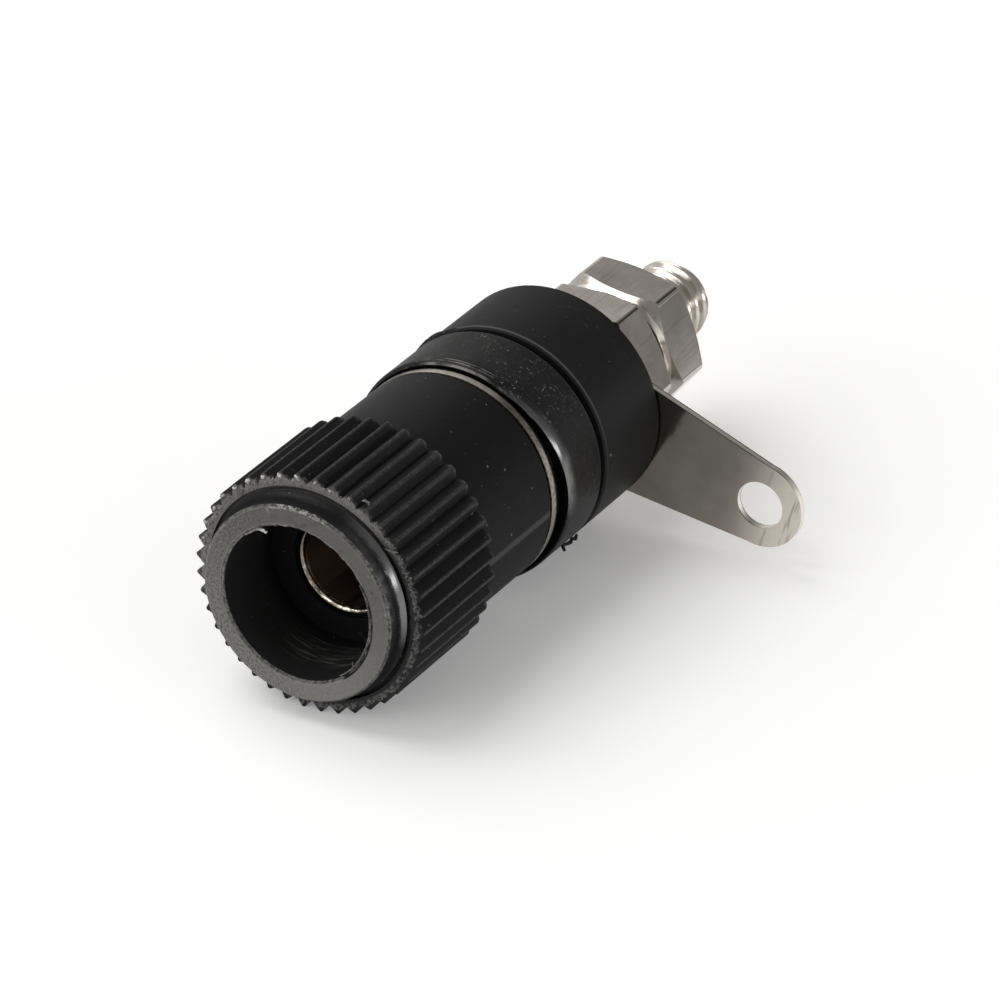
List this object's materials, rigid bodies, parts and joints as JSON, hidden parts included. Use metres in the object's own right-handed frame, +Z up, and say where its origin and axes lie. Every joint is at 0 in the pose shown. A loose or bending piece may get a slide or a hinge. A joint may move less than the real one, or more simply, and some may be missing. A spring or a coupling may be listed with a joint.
{
  "type": "banana socket",
  "caption": "Panel binding post: ribbed thumb nut with a plug recess over a socketed metal post, clamp washer, insulating bushings, solder lug and hexagon nuts on a threaded stud.",
  "frame": {"origin": "centre of the panel seat, the rear face of the front bushing's collar", "axes": "the socket's axis lies along Y: the mouth faces -Y, the stud points to +Y, and +Z is up with the lug near +X"},
  "size_m": [0.0184, 0.034, 0.0114],
  "materials": {
    "black_plastic": "satin black moulding",
    "insert_brass": "turned brass",
    "plated_post": "bright nickel plate",
    "plated_nut": "bright nickel plate",
    "washer_metal": "stamped, fine scratches",
    "lug_metal": "bright tinned sheet"
  },
  "bodies": {
    "socket_body": {"post": "plated_post", "front_bushing": "black_plastic", "rear_bushing": "black_plastic", "solder_lug": "lug_metal", "spring_washer": "washer_metal", "lug_nut": "plated_nut", "lock_nut": "plated_nut"},
    "clamp_washer": {"clamp_washer": "washer_metal"},
    "thumb_nut": {"thumb_nut": "black_plastic", "thread_insert": "insert_brass"}
  },
  "joints": [
    {"name": "thumb_nut_travel", "type": "slide", "parent": "socket_body", "child": "clamp_washer", "axis": [0, -1, 0], "range_m": [0, 0.004]},
    {"name": "thumb_nut_turn", "type": "hinge", "parent": "clamp_washer", "child": "thumb_nut", "pos_m": [0, 0, 0], "axis": [0, -1, 0], "range_deg": [0, 1440]}
  ],
  "couplings": [
    {"joint": "thumb_nut_turn", "follows": "thumb_nut_travel", "rad_per_m": 6283.2}
  ]
}
